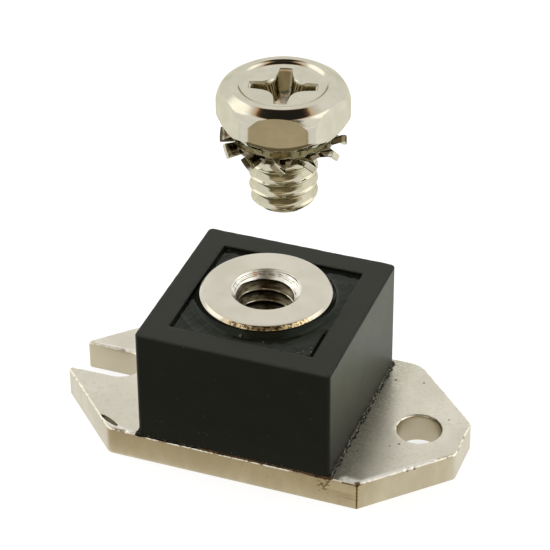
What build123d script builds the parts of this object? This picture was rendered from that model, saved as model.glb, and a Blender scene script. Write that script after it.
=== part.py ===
from build123d import *
import math
import os

# Single-diode power module with a screw terminal, and the terminal's loose screw.
# Millimetres, +Z up. The origin is the centre of the base plate's underside: the mounting
# hole is on +X, the open slot on -X, and the terminal's thread opens upward.

# Thread: 1/4-20 UNC, shared by the screw and the terminal
THREAD_D = 6.15              # crests of the male thread
THREAD_DEPTH = 0.475         # from those crests in to the crests of the female thread

# Threaded terminal: round flange on a hexagonal body
TERMINAL_PROUD = 0.85        # its contact face stands this far above the case's rim
TERMINAL_LENGTH = 8.2
FLANGE_D = 12.4
FLANGE_THICKNESS = 2.5
FLANGE_BREAK = 0.42          # chamfer round the contact face
BODY_WALL = 1.9              # least wall between the thread and the body's flats
TAP_DEPTH = 7.2              # flat-bottomed, from the contact face
COUNTERSINK = 0.68           # how far the mouth opens out beyond the thread's crests

# Case: square moulded tube, glued down a little off centre
MOAT = 0.75                  # from the flange to the cavity's wall, if it stood centrally
CASE_WALL = 2.45             # at the rim
CASE_HEIGHT = 11.35
CASE_SHIFT_X = 0.25
CASE_SHIFT_Y = -0.42
CASE_CORNER_R = 0.45
CASE_RIM_BREAK = 0.12
CAVITY_DRAFT = 0.6           # degrees, the cavity is wider at its foot

# Base plate: stamped copper, both ends cut to a blunt point
PLATE_LENGTH = 38.9
PLATE_LEDGE = 0.3            # how far it would reach beyond a centred case, front and back
PLATE_THICKNESS = 2.95
POINT_ANGLE = 45.2           # degrees between the plate's long axis and its slanted edges
SHOULDER_R = 1.0             # rounding where a side turns into the point
SHARP_SHOULDER_R = 0.4       # the front shoulder on the hole side came out crisp
FULL_SHOULDER_R = 2.4        # the back one on that side came out full
POINT_R = 0.6                # rounding beside the closed end's edge
HOLE_INSET = 4.35            # from the hole's centre, and the slot's, to the plate's end
HOLE_D = 4.1
SLOT_WIDTH = 4.06
PRONG_TIP = 0.47             # flat left at the tip of each prong beside the slot
PRONG_OUTER_R = 0.4
PRONG_INNER_R = 0.28
ROLL_OVER = 0.22             # bevel that the punch leaves round the upper edges
BURR_BREAK = 0.1             # small break round the lower edges

# Glue between the case and the plate
GLUE_LINE = 0.15
GLUE_BEAD = 0.32             # squeezed out this far beyond the case, and as high
GLUE_SKIRT = 0.3             # how far it runs down over the plate's front edge

# Diode stack, from the plate upward; square parts are given by their side
DIE_SIDE = 9.0
DIE_THICKNESS = 0.3
BUFFER_PLATE = 0.6           # thickness of each molybdenum plate
SOLDER_LAYER = 0.1
BUFFER_MARGIN = 0.3          # the lower plate reaches this far beyond the die
SOLDER_MARGIN = 0.1          # and the solder under it this far beyond the plate
ANODE_INSET = 0.5            # the die's upper contact stays this far inside its edge
SOLDER_INSET = 0.1           # what lies on a solder layer stays this far inside it

# Anode strap: copper ribbon folded back on itself as a spring
STRAP_WIDTH = 6.0
STRAP_THICKNESS = 0.5
STRAP_REACH = 3.3            # from the stack's axis to each end of the ribbon
STRAP_SOLDER_INSET = 0.2     # the solder on its feet stays this far inside its width

# Fillings
GEL_DEPTH = 3.05             # soft gel above the plate
POTTING_BELOW_RIM = 0.4
MENISCUS_HEIGHT = 0.65       # how far the resin climbs the flange
MENISCUS_WIDTH = 1.1

# Terminal screw: hexagonal head with a dished top and a cross recess
SCREW_LENGTH = 7.94          # 5/16 inch under the head
NECK_DEPTH = 0.42            # the neck is cut this far below the thread's crests
NECK_LENGTH = 1.9
TIP_CHAMFER = 0.55
HEAD_ACROSS_FLATS = 10.8
HEAD_CORNER_R = 1.8
HEAD_HEIGHT = 4.0
HEAD_FOOT_INSET = 0.2        # the underside's turned relief starts this far inside the flats
HEAD_FOOT_RISE = 0.95        # how far up the relief runs, at the head's full width
HEAD_SHOULDER_R = 1.55       # rounding of the shoulder, from the ridge out to the full width
RIDGE_INSET = 0.95           # from the flats in to the crest of the raised rim round the dish
DISH_WALL = 0.65             # and from that crest in to the foot of the dish's sloping wall
DISH_DEPTH = 0.35
RECESS_SPAN = 6.2
RECESS_WING = 1.15
RECESS_DEPTH = 2.5
RECESS_FLARE = 0.95          # inner corners between the wings are cut back this far
RECESS_FOOT_SPAN = 2.6
RECESS_FOOT_WING = 0.75
RECESS_FOOT_FLARE = 0.35
SCREW_TURN = 15.0            # degrees, the head's turn about its own axis

# Lock washer: external teeth, each twisted about its own length, captive on the neck
WASHER_PLAY = 0.22           # between the neck and the washer's bore, all round
WASHER_RING = 1.55           # width of the ring
WASHER_THICKNESS = 0.65
WASHER_TEETH = 12
TOOTH_LENGTH = 1.2           # beyond the ring
TOOTH_THICKNESS = 0.6        # the teeth are coined a little thinner than the ring
TOOTH_ROOT_WIDTH = 1.3
TOOTH_TIP_WIDTH = 1.1
TOOTH_TWIST = -45.0          # degrees from root to tip, about the tooth's outward axis
TOOTH_SINK = 0.25            # length of each tooth that lies within the ring

# The loose screw hangs over the terminal, a little to one side of its axis
SCREW_LIFT = 10.4            # from the contact face to the screw's tip
SCREW_ASIDE = 1.75

# Sizes that follow
CAVITY_SIDE = FLANGE_D + 2 * MOAT
CASE_SIDE = CAVITY_SIDE + 2 * CASE_WALL
PLATE_WIDTH = CASE_SIDE + 2 * PLATE_LEDGE
PLATE_POINT = SLOT_WIDTH + 2 * PRONG_TIP     # the closed end's edge matches the prongs
POINT_RUN = (PLATE_WIDTH - PLATE_POINT) / 2 / math.tan(math.radians(POINT_ANGLE))
HOLE_SPACING = PLATE_LENGTH - 2 * HOLE_INSET
TAP_BORE_D = THREAD_D - 2 * THREAD_DEPTH
BODY_ACROSS_FLATS = TAP_BORE_D + 2 * BODY_WALL
NECK_D = THREAD_D - 2 * NECK_DEPTH
WASHER_BORE_D = NECK_D + 2 * WASHER_PLAY
WASHER_RING_D = WASHER_BORE_D + 2 * WASHER_RING
LOWER_PLATE_SIDE = DIE_SIDE + 2 * BUFFER_MARGIN
BASE_SOLDER_SIDE = LOWER_PLATE_SIDE + 2 * SOLDER_MARGIN
ANODE_SOLDER_SIDE = DIE_SIDE - 2 * ANODE_INSET
UPPER_PLATE_SIDE = ANODE_SOLDER_SIDE - 2 * SOLDER_INSET
STRAP_SOLDER_SIDE = STRAP_WIDTH - 2 * STRAP_SOLDER_INSET

# Heights that follow, above the plate's underside
PLATE_TOP = PLATE_THICKNESS
CASE_FOOT = PLATE_TOP + GLUE_LINE
CASE_TOP = CASE_FOOT + CASE_HEIGHT
TERMINAL_TOP = CASE_TOP + TERMINAL_PROUD
GEL_TOP = PLATE_TOP + GEL_DEPTH
POOL_TOP = CASE_TOP - POTTING_BELOW_RIM
LOWER_PLATE_FOOT = PLATE_TOP + SOLDER_LAYER
DIE_SOLDER_FOOT = LOWER_PLATE_FOOT + BUFFER_PLATE
DIE_FOOT = DIE_SOLDER_FOOT + SOLDER_LAYER
ANODE_SOLDER_FOOT = DIE_FOOT + DIE_THICKNESS
UPPER_PLATE_FOOT = ANODE_SOLDER_FOOT + SOLDER_LAYER
STRAP_SOLDER_FOOT = UPPER_PLATE_FOOT + BUFFER_PLATE
STRAP_FOOT = STRAP_SOLDER_FOOT + SOLDER_LAYER
TERMINAL_FOOT = TERMINAL_TOP - TERMINAL_LENGTH
STRAP_TOP = TERMINAL_FOOT - SOLDER_LAYER
SCREW_TIP = TERMINAL_TOP + SCREW_LIFT
SCREW_SEAT = SCREW_TIP + SCREW_LENGTH        # underside of the head
NECK_FOOT = SCREW_SEAT - NECK_LENGTH


def slab(side, foot, thickness):
    """A square layer of the stack, centred on the axis, standing on the height foot."""
    return Pos(0, 0, foot) * extrude(Rectangle(side, side), thickness)


def nearest_vertex(shape, x, y):
    """The vertex of a flat outline that lies nearest to (x, y)."""
    return min(shape.vertices(), key=lambda v: math.hypot(v.X - x, v.Y - y))


def plate_outline():
    """Blunt-pointed outline with its open slot; each corner has its own rounding."""
    end, side = PLATE_LENGTH / 2, PLATE_WIDTH / 2
    shoulder, point = end - POINT_RUN, PLATE_POINT / 2
    half_slot = SLOT_WIDTH / 2
    blank = make_face(Polyline(
        (end, -point), (end, point), (shoulder, side), (-shoulder, side),
        (-end, point), (-end, -point), (-shoulder, -side), (shoulder, -side), close=True))
    slot = Pos(-end, 0) * Rectangle(2 * HOLE_INSET, SLOT_WIDTH)
    outline = blank - slot - Pos(-HOLE_SPACING / 2, 0) * Circle(half_slot)
    corners = (
        (shoulder, -side, SHARP_SHOULDER_R), (shoulder, side, FULL_SHOULDER_R),
        (-shoulder, side, SHOULDER_R), (-shoulder, -side, SHOULDER_R),
        (end, -point, POINT_R), (end, point, POINT_R),
        (-end, -point, PRONG_OUTER_R), (-end, point, PRONG_OUTER_R),
        (-end, -half_slot, PRONG_INNER_R), (-end, half_slot, PRONG_INNER_R))
    for x, y, radius in corners:
        outline = fillet(nearest_vertex(outline, x, y), radius)
    return outline


def base_plate():
    """Stamped plate: its upper edges rolled over, its lower ones slightly broken."""
    outline = plate_outline() - Pos(HOLE_SPACING / 2, 0) * Circle(HOLE_D / 2)
    plate = extrude(outline, PLATE_THICKNESS)
    plate = chamfer(plate.faces().sort_by(Axis.Z)[-1].edges(), ROLL_OVER)
    return chamfer(plate.faces().sort_by(Axis.Z)[0].edges(), BURR_BREAK)


def case_outline(extra=0.0):
    """Rounded square of the case, grown by extra on every side."""
    side = CASE_SIDE + 2 * extra
    return Pos(CASE_SHIFT_X, CASE_SHIFT_Y) * RectangleRounded(side, side, CASE_CORNER_R + extra)


def cavity():
    """Space inside the case, from the plate to the rim, with the mould's draft."""
    rim = Pos(CASE_SHIFT_X, CASE_SHIFT_Y) * Rectangle(CAVITY_SIDE, CAVITY_SIDE)
    return Pos(0, 0, CASE_TOP) * extrude(rim, CASE_TOP - PLATE_TOP, dir=(0, 0, -1), taper=-CAVITY_DRAFT)


def case(space):
    """Moulded tube that stands on the glue and holds the fillings."""
    block = Pos(0, 0, CASE_FOOT) * extrude(case_outline(), CASE_HEIGHT)
    block = chamfer(block.faces().sort_by(Axis.Z)[-1].edges(), CASE_RIM_BREAK)
    return block - space


def case_adhesive(plate, housing, space):
    """Glue line with its wedge-shaped bead, and a skirt over the plate's front edge."""
    line = Pos(0, 0, PLATE_TOP - GLUE_SKIRT) * extrude(case_outline(), GLUE_SKIRT + GLUE_LINE)
    bead = Pos(0, 0, PLATE_TOP) * loft([
        case_outline(GLUE_BEAD), Pos(0, 0, GLUE_LINE + GLUE_BEAD) * case_outline(0.02)])
    front = CASE_SHIFT_Y - CASE_SIDE / 2
    behind_front = Pos(0, front + PLATE_WIDTH, PLATE_TOP) * Box(
        2 * PLATE_LENGTH, 2 * PLATE_WIDTH, 4 * PLATE_THICKNESS)
    glue = (line + bead) & behind_front
    return largest(glue - space - housing - plate)


def largest(shape):
    """The biggest solid of a cut, without the crumbs beside it."""
    return max(shape.solids(), key=lambda solid: solid.volume)


def anode_strap():
    """Ribbon folded into a C: one foot on the stack, the other under the terminal."""
    low = STRAP_FOOT + STRAP_THICKNESS / 2
    high = STRAP_TOP - STRAP_THICKNESS / 2
    bend = (high - low) / 2
    turn = STRAP_REACH - bend
    path = (Line((-STRAP_REACH, low), (turn, low))
            + CenterArc((turn, low + bend), bend, -90, 180)
            + Line((turn, high), (-STRAP_REACH, high)))
    ribbon = extrude(Plane.XZ * trace(path, STRAP_THICKNESS), STRAP_WIDTH / 2, both=True)
    return largest(ribbon)


def terminal_blank():
    """Terminal before drilling: chamfered flange over a hexagonal body."""
    flange = Pos(0, 0, TERMINAL_TOP - FLANGE_THICKNESS) * extrude(Circle(FLANGE_D / 2), FLANGE_THICKNESS)
    flange = chamfer(flange.edges().sort_by(Axis.Z)[-1], FLANGE_BREAK)
    hexagon = RegularPolygon(BODY_ACROSS_FLATS / 2, 6, major_radius=False)
    body_height = TERMINAL_LENGTH - FLANGE_THICKNESS
    return flange + Pos(0, 0, TERMINAL_FOOT) * extrude(hexagon, body_height)


def threaded_terminal():
    """Blind tapped hole with a countersunk mouth; the bore stands for the thread's crests."""
    bore, mouth = TAP_BORE_D / 2, TAP_BORE_D / 2 + COUNTERSINK
    floor = TERMINAL_TOP - TAP_DEPTH
    hole = make_face(Polyline(
        (0, TERMINAL_TOP), (mouth, TERMINAL_TOP), (bore, TERMINAL_TOP - COUNTERSINK),
        (bore, floor), (0, floor), close=True))
    return terminal_blank() - revolve(Plane.XZ * hole, Axis.Z)


def silicone_gel(space, inside):
    """Soft gel over the diode stack, from the plate up to GEL_TOP."""
    height = GEL_TOP - PLATE_TOP
    layer = Pos(0, 0, PLATE_TOP + height / 2) * Box(PLATE_LENGTH, PLATE_LENGTH, height)
    return largest(cut_all(space & layer, inside))


def potting_epoxy(space, inside):
    """Hard resin over the gel, its surface drawn up against the terminal's flange."""
    rim = FLANGE_D / 2
    reach = rim + MENISCUS_WIDTH
    surface = (Line((0, GEL_TOP), (PLATE_WIDTH, GEL_TOP))
               + Line((PLATE_WIDTH, GEL_TOP), (PLATE_WIDTH, POOL_TOP))
               + Line((PLATE_WIDTH, POOL_TOP), (reach, POOL_TOP))
               + TangentArc((reach, POOL_TOP), (rim, POOL_TOP + MENISCUS_HEIGHT), tangent=(-1, 0))
               + Line((rim, POOL_TOP + MENISCUS_HEIGHT), (0, POOL_TOP + MENISCUS_HEIGHT))
               + Line((0, POOL_TOP + MENISCUS_HEIGHT), (0, GEL_TOP)))
    pool = revolve(Plane.XZ * make_face(surface), Axis.Z)
    return largest(cut_all(space & pool, inside))


def cut_all(body, tools):
    """Cut each of the tools out of the body in turn."""
    for tool in tools:
        body = body - tool
    return body


def head_blank():
    """Hexagonal head from its underside up: relief, shoulder and dish turned about the axis."""
    hexagon = RegularPolygon(HEAD_ACROSS_FLATS / 2, 6, major_radius=False)
    prism = Rot(0, 0, SCREW_TURN) * extrude(fillet(hexagon.vertices(), HEAD_CORNER_R), HEAD_HEIGHT)
    flat = HEAD_ACROSS_FLATS / 2
    foot, ridge, dish = flat - HEAD_FOOT_INSET, flat - RIDGE_INSET, flat - RIDGE_INSET - DISH_WALL
    widest = ridge + HEAD_SHOULDER_R
    shoulder, floor = HEAD_HEIGHT - HEAD_SHOULDER_R, HEAD_HEIGHT - DISH_DEPTH
    outline = (Line((0, 0), (foot, 0))
               + Line((foot, 0), (widest, HEAD_FOOT_RISE))
               + Line((widest, HEAD_FOOT_RISE), (widest, shoulder))
               + TangentArc((ridge, HEAD_HEIGHT), (widest, shoulder), tangent=(1, 0))
               + Line((ridge, HEAD_HEIGHT), (dish, floor))
               + Line((dish, floor), (0, floor))
               + Line((0, floor), (0, 0)))
    return prism & revolve(Plane.XZ * make_face(outline), Axis.Z)


def cross(span, wing, flare):
    """Plus-shaped section of the recess, with a flare between its wings."""
    shape = Rectangle(span, wing) + Rectangle(wing, span)
    inner = [v for v in shape.vertices() if math.hypot(v.X, v.Y) < wing]
    return Rot(0, 0, SCREW_TURN) * chamfer(inner, flare)


def cross_recess():
    """Tapered cross from the dish down to its foot."""
    mouth = HEAD_HEIGHT - DISH_DEPTH
    return loft([
        Pos(0, 0, mouth) * cross(RECESS_SPAN, RECESS_WING, RECESS_FLARE),
        Pos(0, 0, mouth - RECESS_DEPTH) * cross(RECESS_FOOT_SPAN, RECESS_FOOT_WING, RECESS_FOOT_FLARE)],
        ruled=True)


def place_screw(shape):
    """Move a piece made about the screw's own seat to where the loose screw hangs."""
    return Pos(SCREW_ASIDE, 0, SCREW_SEAT) * shape


def terminal_screw():
    """Head, neck and shank; the shank stands for the crests of the thread."""
    radius, neck = THREAD_D / 2, NECK_D / 2
    shank = make_face(Polyline(
        (0, 0), (neck, 0), (neck, -NECK_LENGTH), (radius, -NECK_LENGTH),
        (radius, TIP_CHAMFER - SCREW_LENGTH), (radius - TIP_CHAMFER, -SCREW_LENGTH),
        (0, -SCREW_LENGTH), close=True))
    return place_screw(head_blank() - cross_recess() + revolve(Plane.XZ * shank, Axis.Z))


def washer_tooth():
    """One tooth along +X, lofted from a level root inside the ring to a twisted tip."""
    ring_r = WASHER_RING_D / 2
    root_r, tip_r = ring_r - TOOTH_SINK, ring_r + TOOTH_LENGTH
    sections = []
    for part in (0.0, 1.0):
        width = TOOTH_ROOT_WIDTH + part * (TOOTH_TIP_WIDTH - TOOTH_ROOT_WIDTH)
        across = Plane(origin=(root_r + part * (tip_r - root_r), 0, 0), x_dir=(0, 1, 0), z_dir=(1, 0, 0))
        sections.append(across * Rot(0, 0, part * TOOTH_TWIST) * Rectangle(width, TOOTH_THICKNESS))
    return loft(sections, ruled=True)


def lock_washer():
    """Ring with twisted teeth; it has dropped down the neck onto the first thread."""
    ring = extrude(Circle(WASHER_RING_D / 2) - Circle(WASHER_BORE_D / 2), WASHER_THICKNESS / 2, both=True)
    for i in range(WASHER_TEETH):
        ring = ring + Rot(0, 0, SCREW_TURN + i * 360 / WASHER_TEETH) * washer_tooth()
    return place_screw(Pos(0, 0, WASHER_THICKNESS / 2 - NECK_LENGTH) * ring)


def build():
    """Every piece by its node's name."""
    space = cavity()
    plate = base_plate()
    housing = case(space)
    strap = anode_strap()
    blank = terminal_blank()
    stack = {
        "base_solder": slab(BASE_SOLDER_SIDE, PLATE_TOP, SOLDER_LAYER),
        "lower_buffer_plate": slab(LOWER_PLATE_SIDE, LOWER_PLATE_FOOT, BUFFER_PLATE),
        "die_solder": slab(DIE_SIDE, DIE_SOLDER_FOOT, SOLDER_LAYER),
        "silicon_die": slab(DIE_SIDE, DIE_FOOT, DIE_THICKNESS),
        "anode_solder": slab(ANODE_SOLDER_SIDE, ANODE_SOLDER_FOOT, SOLDER_LAYER),
        "upper_buffer_plate": slab(UPPER_PLATE_SIDE, UPPER_PLATE_FOOT, BUFFER_PLATE),
        "strap_solder": slab(STRAP_SOLDER_SIDE, STRAP_SOLDER_FOOT, SOLDER_LAYER),
        "terminal_solder": slab(STRAP_SOLDER_SIDE, STRAP_TOP, SOLDER_LAYER),
    }
    inside = list(stack.values()) + [strap, blank]
    return {
        "base_plate": plate,
        **stack,
        "anode_strap": strap,
        "threaded_terminal": threaded_terminal(),
        "case": housing,
        "case_adhesive": case_adhesive(plate, housing, space),
        "silicone_gel": silicone_gel(space, inside),
        "potting_epoxy": potting_epoxy(space, inside),
        "terminal_screw": terminal_screw(),
        "lock_washer": lock_washer(),
    }


os.makedirs("parts", exist_ok=True)
for node, shape in build().items():
    export_step(shape, f"parts/{node}.step")
    print(f"{node:20s} {shape.volume:9.2f} mm3")
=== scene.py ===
import math

import bmesh
import bpy
import numpy as np
from mathutils import Matrix, Vector
from mathutils.geometry import delaunay_2d_cdt


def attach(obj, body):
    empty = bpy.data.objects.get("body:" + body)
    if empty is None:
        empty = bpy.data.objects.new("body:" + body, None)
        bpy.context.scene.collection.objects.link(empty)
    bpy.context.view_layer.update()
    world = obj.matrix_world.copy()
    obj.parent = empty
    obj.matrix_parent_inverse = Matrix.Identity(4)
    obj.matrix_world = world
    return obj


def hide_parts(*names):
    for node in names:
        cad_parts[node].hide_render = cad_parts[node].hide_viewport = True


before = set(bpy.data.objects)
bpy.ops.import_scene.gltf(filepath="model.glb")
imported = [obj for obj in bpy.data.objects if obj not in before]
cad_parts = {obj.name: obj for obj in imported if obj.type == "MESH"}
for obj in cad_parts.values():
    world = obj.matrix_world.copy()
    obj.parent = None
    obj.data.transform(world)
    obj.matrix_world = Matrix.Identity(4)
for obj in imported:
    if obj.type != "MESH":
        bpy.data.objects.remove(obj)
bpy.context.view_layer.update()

# Sizes in millimetres, as in the part's source. +X points to the mounting hole, +Z up.
MM = 0.001
PLATE_END, PLATE_SIDE, PLATE_TOP = 19.45, 9.7, 2.95
PLATE_SHOULDER, PLATE_POINT = 12.3, 2.5
HOLE_X, HOLE_R, SLOT_HALF = 15.1, 2.05, 2.03
CASE_X, CASE_Y = 0.25, -0.42
CASE_HALF, CASE_FOOT, CASE_TOP, CASE_CORNER_R = 9.4, 3.1, 14.45, 0.45
CAVITY_HALF = 6.95
CAVITY_SLOPE = math.tan(math.radians(0.6))
GEL_TOP, POOL_TOP = 6.0, 14.05
FLANGE_R, FLANGE_FOOT, TERMINAL_TOP = 6.2, 12.8, 15.3
TERMINAL_FOOT, BODY_HALF_FLATS = 7.1, 4.5
BORE_R, BORE_FLOOR, BORE_DEPTH, COUNTERSINK = 2.6, 8.1, 0.62, 0.68
PITCH = 1.27
SCREW_X, SCREW_SEAT, SCREW_TURN = 1.75, 33.64, math.radians(15)
HEAD_TOP, HEAD_HALF_FLATS, HEAD_CORNER_R, DISH_DEPTH = 4.0, 5.4, 1.8, 0.35
RIDGE_R, SHOULDER_END_R = 4.45, 6.0
FOOT_R, FOOT_RISE = 5.2, 0.95
SHANK_R, SHANK_ROOT_R, NECK_R, SHANK_END = 3.075, 2.86, 2.655, -7.94


# ---------------------------------------------------------------- surfaces

def grid_quads(rows, columns, close_rows, close_columns):
    """Vertex numbers of a grid's quads; a closed direction joins its last line to its first."""
    r = np.arange(rows if close_rows else rows - 1)
    c = np.arange(columns if close_columns else columns - 1)
    r, c = np.meshgrid(r, c, indexing="ij")
    up, on = (r + 1) % rows, (c + 1) % columns
    quads = np.stack([r * columns + c, r * columns + on, up * columns + on, up * columns + c], -1)
    return quads.reshape(-1, 4)


def merge_and_turn(mesh, gap=2e-7):
    """Close the seams of a mesh and turn every face outwards."""
    shape = bmesh.new()
    shape.from_mesh(mesh)
    bmesh.ops.remove_doubles(shape, verts=shape.verts, dist=gap)
    bmesh.ops.recalc_face_normals(shape, faces=shape.faces)
    shape.to_mesh(mesh)
    shape.free()


class Piece:
    """The surface of one piece, gathered from grids of points in millimetres."""

    def __init__(self):
        self.points, self.corners, self.sizes, self.count = [], [], [], 0

    def add(self, points, faces):
        points = np.asarray(points, float).reshape(-1, 3)
        faces = np.asarray(faces)
        self.points.append(points)
        self.corners.append((faces + self.count).ravel())
        self.sizes.append(np.full(len(faces), faces.shape[1]))
        self.count += len(points)

    def grid(self, points, close_rows=False, close_columns=True):
        """A grid of points, rows by columns by three."""
        rows, columns = points.shape[:2]
        self.add(points, grid_quads(rows, columns, close_rows, close_columns))

    def cap(self, ring, centre):
        """A fan of triangles from a closed ring of points to its centre."""
        n = len(ring)
        first = np.arange(n)
        self.add(np.vstack([ring, centre]), np.stack([first, (first + 1) % n, np.full(n, n)], -1))

    def finish(self, name, material, nodes, sharp=32.0, marks=None):
        """Make the object, give it its finish, and let it stand for the frame's nodes."""
        mesh = bpy.data.meshes.new(name)
        points, corners = np.concatenate(self.points) * MM, np.concatenate(self.corners)
        sizes = np.concatenate(self.sizes)
        mesh.vertices.add(len(points))
        mesh.vertices.foreach_set("co", points.ravel())
        mesh.loops.add(len(corners))
        mesh.loops.foreach_set("vertex_index", corners)
        mesh.polygons.add(len(sizes))
        mesh.polygons.foreach_set("loop_start", np.concatenate([[0], np.cumsum(sizes)[:-1]]))
        mesh.update(calc_edges=True)
        mesh.validate()
        merge_and_turn(mesh)
        mesh.shade_smooth()
        mesh.set_sharp_from_angle(angle=math.radians(sharp))
        for mark, paint in (marks or {}).items():
            xyz = np.empty(len(mesh.vertices) * 3)
            mesh.vertices.foreach_get("co", xyz)
            values = paint(*(xyz.reshape(-1, 3).T / MM))
            mesh.attributes.new(mark, "FLOAT", "POINT").data.foreach_set("value", values)
        mesh.materials.append(material)
        shown = bpy.data.objects.new(name, mesh)
        bpy.context.collection.objects.link(shown)
        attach(shown, "root")
        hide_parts(*nodes)
        return shown


def wander(x, y, z, size, seed, waves=20):
    """Smooth unevenness of about unit height: a sum of sine waves of about the given length."""
    draw = np.random.default_rng(seed)
    aim = draw.normal(size=(waves, 3))
    aim /= np.linalg.norm(aim, axis=1)[:, None]
    rate = 2 * np.pi / (size * draw.uniform(0.6, 1.7, waves))
    phase = draw.uniform(0, 2 * np.pi, waves)
    total = np.zeros(np.broadcast(x, y, z).shape)
    for (ax, ay, az), k, start in zip(aim, rate, phase):
        total += np.sin(k * (ax * x + ay * y + az * z) + start)
    return total / math.sqrt(waves / 2)


def ease(value, low, high):
    """0 below low, 1 above high, and a smooth S between."""
    t = np.clip((value - low) / (high - low), 0, 1)
    return t * t * (3 - 2 * t)


def arc(start, stop, count):
    """Angles in radians from start to stop, given in degrees."""
    return np.radians(np.linspace(start, stop, count))


def around(radius, turn, z):
    """Points at a distance and a turn from the vertical axis, at a height."""
    return np.stack(np.broadcast_arrays(radius * np.cos(turn), radius * np.sin(turn), z), -1)


def rays(angle):
    """Unit vectors in plan."""
    return np.stack([np.cos(angle), np.sin(angle)], -1)


def turned(points, angle):
    """Points turned about the vertical by an angle."""
    c, s = math.cos(angle), math.sin(angle)
    return points @ np.array([[c, s, 0], [-s, c, 0], [0, 0, 1]])


# ---------------------------------------------------------------- base plate

def rounded_loop(corners, step):
    """Outline of straight runs joined by tangent arcs.

    Each corner is (x, y, radius), anticlockwise. An arc's centre lies on the corner's
    bisector, the radius from both runs. Gives the points and their outward normals.
    """
    corners = np.array(corners)
    xy = corners[:, :2]
    points, normals = [], []
    for i, radius in enumerate(corners[:, 2]):
        before = xy[i] - xy[i - 1]
        after = xy[(i + 1) % len(xy)] - xy[i]
        before, after = before / np.linalg.norm(before), after / np.linalg.norm(after)
        turn = math.atan2(before[0] * after[1] - before[1] * after[0], before @ after)
        side = math.copysign(1.0, turn)
        centre = xy[i] + (after - before) * radius / math.sin(abs(turn))
        out = np.array([before[1], -before[0]]) * side
        start = math.atan2(out[1], out[0])
        count = max(4, int(abs(turn) * radius / min(step, radius / 4)) + 1)
        ray = rays(start + np.linspace(0, turn, count))
        points.append(centre + radius * ray)
        normals.append(side * ray)
    filled, facing = [], []
    for i, (run, normal) in enumerate(zip(points, normals)):
        filled.append(run)
        facing.append(normal)
        here, there = run[-1], points[(i + 1) % len(points)][0]
        count = int(np.linalg.norm(there - here) / step)
        if count > 1:
            share = np.linspace(0, 1, count + 1)[1:-1, None]
            filled.append(here + share * (there - here))
            facing.append(np.repeat(normal[-1:], len(share), axis=0))
    return np.vstack(filled), np.vstack(facing)


def plate_loops(step):
    """The plate's outline with its slot, and the circle of its hole."""
    end, side, shoulder, point = PLATE_END, PLATE_SIDE, PLATE_SHOULDER, PLATE_POINT
    slot_end = SLOT_HALF - HOLE_X
    outline = rounded_loop([
        (end, -point, 0.6), (end, point, 0.6), (shoulder, side, 2.4), (-shoulder, side, 1.0),
        (-end, point, 0.4), (-end, SLOT_HALF, 0.28), (slot_end, SLOT_HALF, SLOT_HALF),
        (slot_end, -SLOT_HALF, SLOT_HALF), (-end, -SLOT_HALF, 0.28), (-end, -point, 0.4),
        (-shoulder, -side, 1.0), (shoulder, -side, 0.4)], step)
    ray = rays(np.linspace(0, 2 * np.pi, 128, endpoint=False))
    return outline, (HOLE_R * ray + (HOLE_X, 0), -ray)


def inside_loop(xy, loop):
    """True for the points from which a ray crosses a closed outline an odd number of times."""
    x, y = xy[:, :1], xy[:, 1:]
    ax, ay = loop.T
    bx, by = np.roll(loop, -1, axis=0).T
    crosses = (ay > y) != (by > y)
    reach = ax + (y - ay) * (bx - ax) / np.where(by == ay, 1e-12, by - ay)
    return (crosses & (x < reach)).sum(axis=1) % 2 == 1


def flat_fill(piece, loops, z, spots, shape):
    """Fill the plane between an outline and its hole with triangles.

    Free points lie on a half-staggered lattice, and closer together round each spot
    (x, y, reach, spacing); shape moves the filled points afterwards.
    """
    low, high = loops[0].min(axis=0), loops[0].max(axis=0)
    lattices = [(low, high, 0.42)] + [
        (np.array([x - reach, y - reach]), np.array([x + reach, y + reach]), gap)
        for x, y, reach, gap in spots]
    free = []
    for corner, far, gap in lattices:
        gx, gy = np.meshgrid(np.arange(corner[0], far[0], gap), np.arange(corner[1], far[1], gap))
        gx = gx + (np.arange(gx.shape[0]) % 2)[:, None] * gap / 2
        free.append(np.stack([gx.ravel(), gy.ravel()], -1))
    free = np.vstack(free)
    free = free[inside_loop(free, loops[0]) & ~inside_loop(free, loops[1])]
    edge = np.vstack(loops)
    near = np.concatenate([
        np.min(((part[:, None] - edge[None]) ** 2).sum(-1), axis=1)
        for part in np.array_split(free, 40)])
    free = free[near > 0.085 ** 2]
    ties, start = [], 0
    for loop in loops:
        n = len(loop)
        here = np.arange(n)
        ties.append(np.stack([start + here, start + (here + 1) % n], -1))
        start += n
    places = [Vector(p) for p in np.vstack([edge, free]).tolist()]
    made = delaunay_2d_cdt(places, np.vstack(ties).tolist(), [], 1, 1e-6)
    xy, triangles = np.array([tuple(p) for p in made[0]]), np.array(made[2])
    centre = xy[triangles].mean(axis=1)
    triangles = triangles[inside_loop(centre, loops[0]) & ~inside_loop(centre, loops[1])]
    piece.add(shape(np.column_stack([xy, np.full(len(xy), z)])), triangles)


# Gouge in the plate's top beside its front edge: its ends, half width and depth
GOUGE_A, GOUGE_B, GOUGE_HALF, GOUGE_DEPTH = (-13.62, -8.02), (-11.55, -9.10), 0.30, 0.22
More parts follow.
